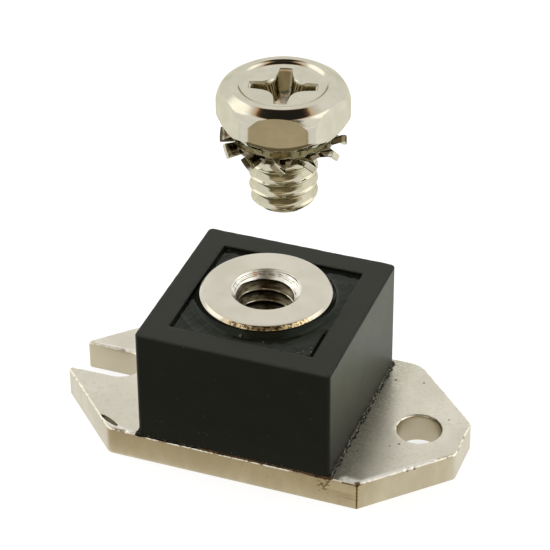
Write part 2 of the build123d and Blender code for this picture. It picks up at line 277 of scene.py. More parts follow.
# Nicks in the plate's edges: x, y, z, reach, depth
NICKS = (
    (15.93, -6.12, 2.92, 0.16, 0.20), (16.42, -5.55, 2.92, 0.14, 0.16),
    (-15.6, 2.03, 2.86, 0.30, 0.14), (13.3, -8.75, 2.93, 0.12, 0.10),
    (14.6, -7.45, 2.93, 0.10, 0.08), (18.5, -3.45, 2.93, 0.10, 0.08),
    (8.4, -9.7, 2.9, 0.16, 0.10), (-4.6, -9.7, 2.93, 0.14, 0.09),
    (-10.6, -9.65, 2.93, 0.22, 0.16), (12.2, -9.6, 2.9, 0.18, 0.14),
    (-14.9, -7.1, 2.93, 0.12, 0.09), (-17.2, -4.75, 2.93, 0.12, 0.07),
    (10.8, -9.7, 1.5, 0.35, 0.05), (-9.0, 9.7, 2.9, 0.2, 0.1), (5.4, 9.7, 2.9, 0.16, 0.09),
    (14.4, 7.6, 2.93, 0.14, 0.09), (-15.9, 6.05, 2.93, 0.14, 0.08),
    (-18.8, -2.1, 2.9, 0.16, 0.08),
)


def worn_plate(points):
    """Press the gouges and nicks in and let the edges wander by a few hundredths."""
    x, y, z = points.T
    moved = points.copy()
    edge = ease(z, 2.70, 2.86) * (1 - ease(z, 2.92, 2.948))
    ragged = wander(x, y, z * 0.2, 0.55, 3) * 0.012 + wander(x, y, z * 0.2, 2.6, 4) * 0.014
    moved[:, 2] -= edge * np.clip(ragged + 0.006, 0, 1)
    (ax, ay), (bx, by) = GOUGE_A, GOUGE_B
    length = math.hypot(bx - ax, by - ay)
    along = ((x - ax) * (bx - ax) + (y - ay) * (by - ay)) / length ** 2
    across = ((y - ay) * (bx - ax) - (x - ax) * (by - ay)) / length
    wide = GOUGE_HALF * np.sqrt(np.clip(4 * along * (1 - along), 1e-4, 1))
    inside = (along > 0) & (along < 1)
    pressed = inside * (1 - ease(abs(across) / wide, 0.35, 1.0)) * ease(z, 2.4, 2.8)
    moved[:, 2] -= GOUGE_DEPTH * pressed
    for nx, ny, nz, reach, depth in NICKS:
        away = np.sqrt((x - nx) ** 2 + (y - ny) ** 2 + (z - nz) ** 2)
        fade = np.exp(-(away / reach) ** 2)
        moved[:, 2] -= depth * 0.7 * fade * (z > 1.8)
        length = np.hypot(nx, ny)
        moved[:, 0] -= depth * 0.5 * fade * nx / length
        moved[:, 1] -= depth * 0.5 * fade * ny / length
    return moved


def base_plate(material):
    """Stamped plate: an edge profile carried along each outline, and a filled top and bottom.

    The profile runs down a quarter circle of the roll-over, the sheared side, and a small
    break; a point of it is the outline less its inset along the normal, at its height.
    """
    turn = arc(0, 90, 8)
    roll, burr, burr_step = 0.24, 0.1, 0.03
    inset = np.concatenate([roll * (1 - np.sin(turn)), np.zeros(13), [burr_step, burr]])
    height = np.concatenate([
        PLATE_TOP - roll * (1 - np.cos(turn)), np.linspace(PLATE_TOP - roll, burr, 14)[1:],
        [burr_step, 0.0]])
    piece = Piece()
    loops = plate_loops(0.14)
    rims = []
    for points, normals in loops:
        xy = points[None] - inset[:, None, None] * normals[None]
        rows = np.dstack([xy, np.broadcast_to(height[:, None], xy.shape[:2])])
        piece.grid(worn_plate(rows.reshape(-1, 3)).reshape(rows.shape))
        rims.append((xy[0], xy[-1]))
    spots = [(-12.6, -8.55, 1.3, 0.06), (-10.9, -9.2, 0.8, 0.12)]
    flat_fill(piece, [rims[0][0], rims[1][0]], PLATE_TOP, spots, worn_plate)
    flat_fill(piece, [rims[0][1], rims[1][1]], 0.0, [], lambda points: points)
    return piece.finish("stamped_base_plate", material, ["base_plate"], 38,
                        {"cut_edge": lambda x, y, z: 1 - ease(z, 2.72, 2.9)})


# ---------------------------------------------------------------- case, glue and resin

def square_ring(half, radius, straight, bend):
    """Rounded square about the case's axis: four quarter arcs joined by straight runs."""
    angle = np.linspace(0, np.pi / 2, bend)
    share = np.linspace(0, 1, straight + 2)[1:-1]
    core = half - radius
    quarter = np.concatenate([
        core + radius * rays(angle),
        np.stack([core - 2 * core * share, np.full(straight, half)], -1)])
    quarter_turn = np.array([[0, 1], [-1, 0]])
    sides = [quarter @ np.linalg.matrix_power(quarter_turn, times) for times in range(4)]
    return np.concatenate(sides) + (CASE_X, CASE_Y)


def worn_case(points):
    """Let the moulded edges wander a little and knock small chips out of the rim."""
    x, y, z = points.T
    moved = points.copy()
    out = np.maximum(abs(x - CASE_X), abs(y - CASE_Y))
    rim = ease(z, 14.25, 14.4) * (ease(out, CASE_HALF - 0.3, CASE_HALF - 0.02)
                                  + 0.8 * (1 - ease(out, CAVITY_HALF + 0.02, CAVITY_HALF + 0.25)))
    patches = np.clip(wander(x, y, z, 0.33, 11) - 1.55, 0, 1) * 0.12
    moved[:, 2] -= rim * (patches + 0.008 * wander(x, y, z, 1.1, 12))
    moved[:, 2] += 0.012 * wander(x, y, z * 0, 7.0, 13) * ease(z, 14.2, 14.4)
    foot = 1 - ease(z, CASE_FOOT, CASE_FOOT + 0.35)
    moved[:, 2] += foot * 0.02 * wander(x, y, z * 0, 0.8, 14)
    return moved


def case(material):
    """Square moulded tube: a wall profile carried round a rounded square.

    Each row of the profile is (half side, corner radius, height): up the outside, over
    the rounded rim, and down the inside, which widens towards its foot.
    """
    turn = arc(0, 90, 6)
    outer, inner = 0.16, 0.09
    rows = [(CASE_HALF, CASE_CORNER_R, z) for z in np.linspace(CASE_FOOT, CASE_TOP - outer, 30)]
    rows += [(CASE_HALF - outer * (1 - math.cos(a)),
              CASE_CORNER_R - outer * (1 - math.cos(a)) * 0.7,
              CASE_TOP - outer * (1 - math.sin(a))) for a in turn[1:]]
    rows += [(half, 0.3, CASE_TOP) for half in np.linspace(9.0, 7.4, 6)]
    rows += [(CAVITY_HALF + inner * (1 - math.sin(a)), 0.12, CASE_TOP - inner * (1 - math.cos(a)))
             for a in turn]
    rows += [(CAVITY_HALF + CAVITY_SLOPE * (CASE_TOP - z), 0.12, z)
             for z in (14.2, 14.0, 13.6, 12, 8, CASE_FOOT)]
    grid = np.array([np.pad(square_ring(half, radius, 110, 9), ((0, 0), (0, 1)), constant_values=z)
                     for half, radius, z in rows])
    piece = Piece()
    piece.grid(worn_case(grid.reshape(-1, 3)).reshape(grid.shape), close_rows=True)
    return piece.finish("moulded_case", material, ["case"], 40)


def glue_bead(material):
    """Squeezed-out glue: a lumpy wedge carried round the case's foot.

    Its reach and height wander along the way. At the front, where the case overhangs the
    plate, the wedge turns into a thin skirt that hangs over the plate's edge.
    """
    wall = square_ring(CASE_HALF, CASE_CORNER_R, 300, 12)
    n = len(wall)
    x, y = (wall - (CASE_X, CASE_Y)).T
    out = np.stack([np.clip(x / CASE_HALF, -1, 1) ** 9, np.clip(y / CASE_HALF, -1, 1) ** 9], -1)
    out /= np.linalg.norm(out, axis=1)[:, None]
    front = ease(-out[:, 1], 0.6, 0.95)
    lumps = wander(x, y, 0, 1.6, 21) * 0.4 + wander(x, y, 0, 0.35, 22) * 0.5
    reach = (0.26 + 0.10 * lumps) * (1 - front) + front * (0.035 + 0.02 * lumps)
    blob = np.exp(-((x + 9.2) / 0.45) ** 2 - ((y + 8.9) / 0.55) ** 2)
    reach = np.clip(reach + 0.30 * blob * (1 - front), 0.02, 0.5)
    rise = np.clip(0.13 + 0.06 * wander(x, y, 0, 1.7, 23) + 0.5 * blob, 0.03, 0.6)
    drop = 0.015 + 0.012 * wander(x, y, 0, 1.9, 24) + 0.02 * wander(x, y, 0, 0.3, 25)
    drop = (np.clip(drop, 0.0, 0.3) + 0.09 * ease(x, 5.5, 8.5)) * front
    # Share of the reach, height, share of the rise, share of the drop
    profile = [(-0.1, CASE_FOOT + 0.05, 0, 0), (0.004, CASE_FOOT, 1, 0),
               (0.25, CASE_FOOT - 0.02, 0.62, 0), (0.6, PLATE_TOP + 0.02, 0.28, -0.3),
               (0.9, PLATE_TOP + 0.01, 0.07, -0.75), (1.0, PLATE_TOP - 0.004, 0, -1),
               (0.4, PLATE_TOP - 0.006, 0, -1)]
    rows = []
    for share, z, climb, hang in profile:
        xy = wall + out * (share * reach)[:, None]
        rows.append(np.column_stack([xy, z + climb * rise + hang * drop]))
    for inset, z in ((0.5, PLATE_TOP - 0.006), (2.3, PLATE_TOP - 0.006), (2.3, CASE_FOOT - 0.02),
                     (0.5, CASE_FOOT - 0.02)):
        rows.append(np.column_stack([wall - out * inset, np.full(n, z)]))
    piece = Piece()
    piece.grid(np.array(rows), close_rows=True)
    return piece.finish("glue_bead", material, ["case_adhesive"], 60)


# Bubbles that burst in the resin's surface: x, y, radius
BUBBLES = ((5.51, -6.64, 0.13), (6.44, -5.49, 0.12), (5.0, -6.2, 0.08), (6.1, -6.1, 0.07),
           (2.08, -6.42, 0.10), (5.9, -6.85, 0.09), (-6.2, -5.6, 0.07), (6.5, 4.9, 0.10),
           (-5.9, 5.6, 0.08))


def resin_height(x, y):
    """Level pool, drawn up in a curve at the flange and slightly at the case, with soft ripples."""
    across = np.hypot(x, y) - FLANGE_R
    wall = CAVITY_HALF - np.maximum(abs(x - CASE_X), abs(y - CASE_Y))
    z = POOL_TOP + 0.78 * np.exp(-np.clip(across, 0, 9) / 0.26)
    z = z + 0.06 * np.exp(-np.clip(wall, 0, 9) / 0.10)
    left = ease(-x, -1.0, 4.5) * (0.6 + 0.4 * np.sin(y * 0.9))
    swing = 0.10 * wander(x, y, 0, 5.0, 31)
    for from_flange, wide, tall in ((0.85, 0.18, 0.04), (2.15, 0.26, 0.04)):
        z = z + (0.15 + left) * tall * np.exp(-((across - from_flange - swing) / wide) ** 2)
    left_groove = np.exp(-((wall - 0.08) / 0.07) ** 2) * ease(CASE_X - x, 6.2, 6.8)
    right_groove = np.exp(-((wall - 0.28) / 0.20) ** 2) * ease(x - CASE_X, 6.0, 6.6)
    z = z - left_groove * 0.14 - right_groove * (1 - ease(y, -3.6, -2.4)) * 0.30
    z = z + 0.05 * np.exp(-((x + 2.9) / 0.55) ** 2 - ((y + 7.08) / 0.07) ** 2)
    z = z + 0.10 * np.exp(-((x + 0.08) / 0.16) ** 2 - ((y + 6.47) / 0.08) ** 2)
    z = z + 0.012 * wander(x, y, 0, 3.4, 32) + 0.005 * wander(x, y, 0, 1.1, 33)
    for bx, by, radius in BUBBLES:
        away = np.hypot(x - bx, y - by) / radius
        z = z - 0.5 * radius * np.exp(-away ** 4)
        z = z + 0.12 * radius * np.exp(-((away - 1.25) / 0.25) ** 2)
    return z


def potting(material):
    """Poured resin: the surface spans from the flange's circle to the square cavity.

    A point is a blend of the circle and the square at the same turn; its height is the
    pool's. The sides and the foot close the piece.
    """
    ring = square_ring(CAVITY_HALF + 0.004, 0.10, 236, 5)
    round_ring = FLANGE_R * rays(np.arctan2(ring[:, 1], ring[:, 0]))
    share = np.linspace(0, 1, 64) ** 1.25
    xy = round_ring[None] + share[:, None, None] * (ring - round_ring)[None]
    top = np.dstack([xy, resin_height(xy[..., 0], xy[..., 1])])
    low = np.dstack([xy[[-1, 0]], np.full((2, len(ring), 1), GEL_TOP + 0.05)])
    piece = Piece()
    piece.grid(np.concatenate([top, low]), close_rows=True)
    return piece.finish("poured_resin", material, ["potting_epoxy"], 50)


# ---------------------------------------------------------------- threaded terminal

def thread_wall(wall, low, high, crest, root, columns=145):
    """Threaded wall: rows that follow the right-hand helix, so that its edges stay crisp.

    A row's height is a share of the pitch plus the pitch times the turn, kept between low
    and high. The share also says how deep in the thread the row lies: 0 on the crest's
    flat, 1 on the root's, and straight between. wall gives the radius from depth and height.
    """
    half = np.concatenate([np.linspace(0, crest, 4), np.linspace(crest, 1 - root, 9)[1:],
                           np.linspace(1 - root, 1, 3)[1:]]) / 2
    shares = np.unique(np.round(np.concatenate([0.5 - half, 0.5 + half[:-1]]), 9))
    turns = np.arange(math.floor(low / PITCH) - 2, math.ceil(high / PITCH) + 1)
    rows = (turns[:, None] + shares[None]).ravel()
    turn = np.linspace(0, 2 * np.pi, columns)
    z = np.clip((rows[:, None] + turn[None] / (2 * np.pi)) * PITCH, low, high)
    phase = (z / PITCH - turn[None] / (2 * np.pi)) % 1.0
    depth = np.clip((abs(phase - 0.5) * 2 - crest) / (1 - crest - root), 0, 1)
    return around(wall(depth, z), turn, z)


def hexagon_radius(turn, half_flats, radius):
    """Distance from the axis to a rounded hexagon's edge: its flat, or the arc at its corner."""
    sixth = np.pi / 3
    off = abs((turn + sixth / 2) % sixth - sixth / 2)
    centre = (half_flats - radius) / math.cos(sixth / 2)
    meets = math.atan2((half_flats - radius) * math.tan(sixth / 2), half_flats)
    lean = sixth / 2 - off
    half_chord = np.sqrt(np.clip(radius ** 2 - (centre * np.sin(lean)) ** 2, 0, None))
    return np.where(off < meets, half_flats / np.cos(off), centre * np.cos(lean) + half_chord)


def terminal(material):
    """Turned terminal: radius as a function of turn and height, row after row.

    It goes up the hexagonal body, out and over the chamfered flange, across the face, and
    down the countersink into the thread, whose radius is the bore's plus the thread's depth.
    """
    columns = 144
    turn = np.linspace(0, 2 * np.pi, columns, endpoint=False)
    body = hexagon_radius(turn, BODY_HALF_FLATS, 0.3)
    rows = [(body * 0.96, TERMINAL_FOOT), (body, TERMINAL_FOOT + 0.15), (body, 10.0),
            (body, FLANGE_FOOT)]
    soft, bevel, mouth, mouth_drop = 0.05, 0.30, BORE_R + COUNTERSINK, 0.05
    # The flange's profile, as distances in from its rim and down from its face
    profile = [(0.15, TERMINAL_TOP - FLANGE_FOOT), (0, TERMINAL_TOP - FLANGE_FOOT - 0.15), (0, 1.7),
               (0, 1.0), (0, bevel + soft), (0.012, bevel), (0.045, bevel - soft),
               (bevel - 0.045, soft), (bevel - 0.012, 0.02), (bevel + soft, 0)]
    profile += [(FLANGE_R - r, 0) for r in np.linspace(5.5, 3.45, 8)]
    profile += [(FLANGE_R - mouth - 0.06, 0), (FLANGE_R - mouth - 0.015, 0.02),
                (FLANGE_R - mouth, mouth_drop)]
    rows += [(FLANGE_R - inward, TERMINAL_TOP - down) for inward, down in profile]
    grid = np.array([around(r, turn, z) for r, z in rows])
    mouth_top = TERMINAL_TOP - mouth_drop
    bore = thread_wall(
        lambda depth, z: np.maximum(BORE_R + BORE_DEPTH * depth, mouth - (mouth_top - z)),
        BORE_FLOOR, mouth_top, 0.08, 0.10)
    bore = turned(bore, 39 * 2 * np.pi / columns)
    piece = Piece()
    piece.grid(grid)
    piece.grid(bore, close_columns=False)
    piece.cap(grid[0], (0, 0, TERMINAL_FOOT))
    piece.cap(bore[0, :-1], (0, 0, BORE_FLOOR - 0.5))
    return piece.finish("turned_terminal", material, ["threaded_terminal"], 34)


# ---------------------------------------------------------------- screw and lock washer

SCREW_COLUMNS = 320
TIP_CHAMFER, NECK_SEAM = 0.62, 0.5


def cross_loop(tip, hug, spread):
    """Edge of the cross recess, as angles and distances from the axis.

    A wing's end is an arc of radius tip. Between two wings the edge is the hyperbola
    (a - hug)(b - hug) = spread, with a and b measured along the wings; it is followed by
    the logarithm of (a - hug) over the root of spread, from the arc to the diagonal.
    """
    total = hug + math.sqrt(tip ** 2 + 2 * spread - hug ** 2)
    along = total / 2 + math.sqrt(total ** 2 / 4 - (spread - hug ** 2 + hug * total))
    across = total - along
    ends, sides = SCREW_COLUMNS // 32, SCREW_COLUMNS * 3 // 32
    swing = np.linspace(0, math.atan2(across, along), ends, endpoint=False)
    power = np.linspace(math.log((along - hug) / math.sqrt(spread)), 0, sides, endpoint=False)
    a, b = hug + math.sqrt(spread) * np.exp(power), hug + math.sqrt(spread) * np.exp(-power)
    angle = np.concatenate([swing, np.arctan2(b, a)])
    reach = np.concatenate([np.full(ends, tip), np.hypot(a, b)])
    diagonal = hug + math.sqrt(spread)
    angle = np.concatenate([angle, [np.pi / 4], np.pi / 2 - angle[:0:-1]])
    reach = np.concatenate([reach, [diagonal * math.sqrt(2)], reach[:0:-1]])
    quarters = np.arange(4)[:, None] * np.pi / 2
    return (quarters + angle[None]).ravel(), np.tile(reach, 4)


def terminal_screw(material):
    """Cold-headed screw: radius and height as functions of the turn, row after row.

    From the recess's floor it climbs the tapered cross, crosses the dish and its raised
    rim, goes over the rounded shoulder to where it meets the rounded hexagon, down the
    flats, in under the head, and down the neck and the rolled thread to the tip.
    """
    turn = np.arange(SCREW_COLUMNS) * 2 * np.pi / SCREW_COLUMNS
    dish = HEAD_TOP - DISH_DEPTH
    angle, reach = cross_loop(1.95, 0.32, 0.12)
    lobes = [(angle, reach * size, dish - down)
             for size, down in ((0.35, 2.08), (0.8, 2.03), (0.97, 1.98))]
    for share in (0.0, 0.25, 0.5, 0.75, 0.92):
        angle, reach = cross_loop(1.97 + 0.97 * share, 0.32 + 0.06 * share, 0.12 + 0.33 * share)
        lobes.append((angle, reach, dish - 1.92 * (1 - share)))
    angle, mouth = cross_loop(3.05, 0.385, 0.48)
    for out, down in ((-0.03, 0.10), (0.0, 0.045), (0.035, 0.01), (0.09, 0.0)):
        lobes.append((angle, mouth + out, dish - down))
    for share in (0.2, 0.4, 0.6, 0.8):
        even = angle * (1 - share) + turn * share
        out = (mouth + 0.09) * (1 - share) + 3.45 * share
        lobes.append((even, out, dish + 0.02 * share))
    rim = ((3.45, 0.02), (3.60, 0.035), (3.72, 0.07), (3.82, 0.13), (3.91, 0.21), (3.99, 0.285),
           (4.06, 0.335), (4.13, 0.35), (4.21, 0.355), (4.30, 0.346), (4.38, 0.338),
           (RIDGE_R, 0.345))
    rows = [(r, dish + up) for r, up in rim]
    edge = hexagon_radius(turn - np.pi / 6, HEAD_HALF_FLATS, HEAD_CORNER_R)
    for share in np.linspace(0, 1, 24)[1:]:
        out = (edge - RIDGE_R) * share
        slope = 0.62 * np.where(out < 0.3, out ** 2 / 0.6, out - 0.15)
        corner = 1.15 * (1 - np.sqrt(1 - np.clip((out - 0.93) / 0.585, 0, 1) ** 2))
        rows.append((RIDGE_R + out, HEAD_TOP - slope - corner))
    top = rows[-1][1]
    foot = FOOT_RISE * (edge - FOOT_R) / (SHOULDER_END_R - FOOT_R)
    soft = 0.03
    rows += [(edge, (top - soft) * (1 - share) + (foot + soft) * share)
             for share in np.linspace(0, 1, 8)]
    rows += [(edge - 0.02, foot - 0.01)]
    rows += [(edge + (FOOT_R - edge) * share, foot * (1 - share)) for share in (0.35, 0.75, 0.95)]
    rows += [(FOOT_R - 0.08, 0.0), (4.4, 0.0), (3.4, 0.0), (NECK_R + 0.25, 0.0),
             (NECK_R + 0.08, -0.06), (NECK_R, -0.22), (NECK_R, -NECK_SEAM)]

    def shank_wall(depth, z):
        crest = NECK_R + (SHANK_R - NECK_R) * ease(-z, 1.30, 1.75)
        cut = ease(-z, 1.2, 2.0) * ease(z, SHANK_END - 0.1, SHANK_END + 0.3)
        threaded = crest - (crest - SHANK_ROOT_R) * cut * (1 - (1 - depth) ** 4)
        return np.minimum(threaded, SHANK_R - TIP_CHAMFER + (z - SHANK_END))

    lobes += [(turn, r, z) for r, z in rows]
    head = np.array([around(r, t, z) for t, r, z in lobes])
    shank = thread_wall(shank_wall, SHANK_END, -NECK_SEAM, 0.07, 0.06, SCREW_COLUMNS + 1)
    seat = (SCREW_X, 0, SCREW_SEAT)
    head, shank = turned(head, SCREW_TURN) + seat, turned(shank, SCREW_TURN) + seat
    piece = Piece()
    piece.grid(head)
    piece.cap(head[0], (SCREW_X, 0, SCREW_SEAT + dish - 2.10))
    piece.grid(shank, close_columns=False)
    piece.cap(shank[0, :-1], (SCREW_X, 0, SCREW_SEAT + SHANK_END))
    return piece.finish("headed_terminal_screw", material,
                        ["terminal_screw"], 40)


def lock_washer(material):
    """Stamped lock washer: a section carried round the ring, drawn out into twelve teeth.

    The outer radius steps between the ring's edge and the teeth's tips. Beyond the ring,
    each point turns about its tooth's outward axis by an angle that grows with radius.
    """
    bore, ring, tips, half = 2.875, 4.425, 5.62, 0.31
    teeth, width, round_edge = 12, 0.58, 0.07
    stretch, lip, taper = 4.3, 0.05, 0.02
    twist_start, twist_end, full_twist, drop = 4.15, 5.4, math.radians(46), 1.575
    period, flank, step = 2 * np.pi / teeth, math.asin(width / 5.1), 0.022
    local = np.unique(np.concatenate([
        np.linspace(-period / 2, -flank - step, 5), flank * np.linspace(-1, 1, 15),
        np.linspace(flank + step, period / 2, 5)]))[:-1]
    axis = np.repeat(np.arange(teeth) * period, len(local))
    off = np.tile(local, teeth)
    outer = np.where(abs(off) <= flank + 1e-9, tips, ring)
    upper = [(r, half) for r in (bore + round_edge, 3.3, 3.9, 4.2)]
    upper += [(stretch + (outer - lip - stretch) * share, half - taper * share)
              for share in np.linspace(0, 1, 12)]
    upper.append((outer, half - 0.09))
    bands = upper + [(r, -z) for r, z in upper[::-1]]
    bands += [(bore, round_edge - half), (bore, half - round_edge)]
    grid = []
    for r, z in bands:
        along, across = r * np.cos(off), r * np.sin(off)
        twist = -full_twist * ease(r, twist_start, twist_end)
        c, s = np.cos(twist), np.sin(twist)
        across, z = across * c - z * s, across * s + z * c
        grid.append(np.column_stack([
            along * np.cos(axis) - across * np.sin(axis),
            along * np.sin(axis) + across * np.cos(axis), z]))
    place = (SCREW_X, 0, SCREW_SEAT - drop)
    piece = Piece()
    piece.grid(turned(np.array(grid), SCREW_TURN) + place, close_rows=True)
    return piece.finish("stamped_lock_washer", material,
                        ["lock_washer"], 30)


# ---------------------------------------------------------------- finishes

class Value:
    """A shader socket that takes part in Python arithmetic."""

    def __init__(self, shader, socket):
        self.shader, self.socket = shader, socket

    def maths(self, operation, *values):
        return self.shader.node("ShaderNodeMath", {"operation": operation}, dict(enumerate(values)))

    def __add__(self, other):
        return self.maths("ADD", self, other)

    def __sub__(self, other):
        return self.maths("SUBTRACT", self, other)

    def __rsub__(self, other):
        return self.maths("SUBTRACT", other, self)

    def __mul__(self, other):
        return self.maths("MULTIPLY", self, other)

    def __truediv__(self, other):
        return self.maths("DIVIDE", self, other)

    def __pow__(self, other):
        return self.maths("POWER", self, other)

    def __abs__(self):
        return self.maths("ABSOLUTE", self)

    __radd__, __rmul__ = __add__, __mul__

    def least(self, other):
        return self.maths("MINIMUM", self, other)

    def most(self, other):
        return self.maths("MAXIMUM", self, other)

    def fade(self, low, high):
        """1 below low, 0 above high, and a smooth S between."""
        return self.smooth(low, high, 1.0, 0.0)

    def band(self, low, full, last, high):
        """1 from full to last, 0 below low and above high, and a smooth S at each side."""
        return self.smooth(low, full) * self.fade(last, high)

    def smooth(self, low, high, start=0.0, stop=1.0):
        """start below low, stop above high, and a smooth S between."""
        return self.shader.node("ShaderNodeMapRange", {"interpolation_type": "SMOOTHSTEP"},
                                {0: self, 1: low, 2: high, 3: start, 4: stop})


class Shader:
    """A node tree, with the nodes that are used in it as methods."""

    def __init__(self, tree):
        self.tree = tree

    def node(self, kind, settings=None, sockets=None, out=0):
        """Make a node from its settings and the values or links of its sockets; give one output."""
        made = self.tree.nodes.new(kind)
        for key, value in (settings or {}).items():
            if key == "stops":
                ramp = made.color_ramp.elements
                while len(ramp) < len(value):
                    ramp.new(1.0)
                for element, (spot, colour) in zip(ramp, value):
                    element.position, element.color = spot, (*colour, 1)
            else:
                setattr(made, key, value)
        for key, value in (sockets or {}).items():
            if isinstance(value, Value):
                self.tree.links.new(value.socket, made.inputs[key])
            else:
                made.inputs[key].default_value = value
        return Value(self, made.outputs[out])

    def place_mm(self):
        """Place on the piece in millimetres, whole and as its three parts."""
        place = self.node("ShaderNodeTexCoord", out="Object")
        place = self.node("ShaderNodeVectorMath", {"operation": "SCALE"},
                          {0: place, "Scale": 1 / MM})
        axes = self.node("ShaderNodeSeparateXYZ", {}, {0: place}).socket.node.outputs
        return (place, *(Value(self, axis) for axis in axes))

    def mix(self, low, high, factor, blend="MIX"):
        """Colour between low and high."""
        sockets = {0: factor}
        for index, colour in ((6, low), (7, high)):
            sockets[index] = colour if isinstance(colour, Value) else (*colour, 1)
        return self.node("ShaderNodeMix", {"data_type": "RGBA", "blend_type": blend}, sockets, 2)


class Finish(Shader):
    """One material: its Principled node and whatever feeds it."""

    def __init__(self, name, **constants):
        self.material = bpy.data.materials.new(name)
        self.material.use_nodes = True
        super().__init__(self.material.node_tree)
        self.surface = self.tree.nodes["Principled BSDF"]
        for socket, value in constants.items():
            self.surface.inputs[socket.replace("_", " ")].default_value = value
        self.place, self.x, self.y, self.z = self.place_mm()
        self.tone = None

    def feed(self, socket, value):
        self.tree.links.new(value.socket, self.surface.inputs[socket])

    def noise(self, size, detail=2.0, stretch=(1, 1, 1), place=None):
        """Noise from 0 to 1 whose blobs are about size millimetres, stretched along the axes."""
        scaled = self.node("ShaderNodeMapping", {"vector_type": "POINT"}, {
            "Vector": place or self.place, "Scale": [1 / (size * share) for share in stretch]})
        return self.node("ShaderNodeTexNoise", {}, {
            "Vector": scaled, "Scale": 1.0, "Detail": detail, "Roughness": 0.5}, "Fac")

    def lay(self, colour, share):
        """Lay a colour, by a share, over the tone that is there."""
        self.tone = self.mix(self.tone, colour, share)

    def vector(self, x, y, z):
        return self.node("ShaderNodeCombineXYZ", {}, {0: x, 1: y, 2: z})

    def bump(self, height, distance, strength=1.0):
        """Bump whose height of 1 stands for distance millimetres."""
        self.feed("Normal", self.node("ShaderNodeBump", {}, {
            "Height": height, "Distance": distance * MM, "Strength": strength}))

    def line(self, a, b):
        """Share of the way from a to b in plan, and the distance from that stretch."""
        dx, dy = b[0] - a[0], b[1] - a[1]
        along = ((self.x - a[0]) * dx + (self.y - a[1]) * dy) / (dx * dx + dy * dy)
        along = along.most(0.0).least(1.0)
        off_x, off_y = self.x - a[0] - along * dx, self.y - a[1] - along * dy
        return along, (off_x * off_x + off_y * off_y) ** 0.5

    def near_line(self, a, b, width):
        """1 on the stretch from a to b in plan, fading to 0 at width millimetres from it."""
        return (self.line(a, b)[1] / width).fade(0.2, 1.0)

    def near_spot(self, x, y, width):
        """1 at a spot in plan, fading to 0 at width millimetres from it."""
        return self.near_line((x - 0.01, y), (x + 0.01, y), width)


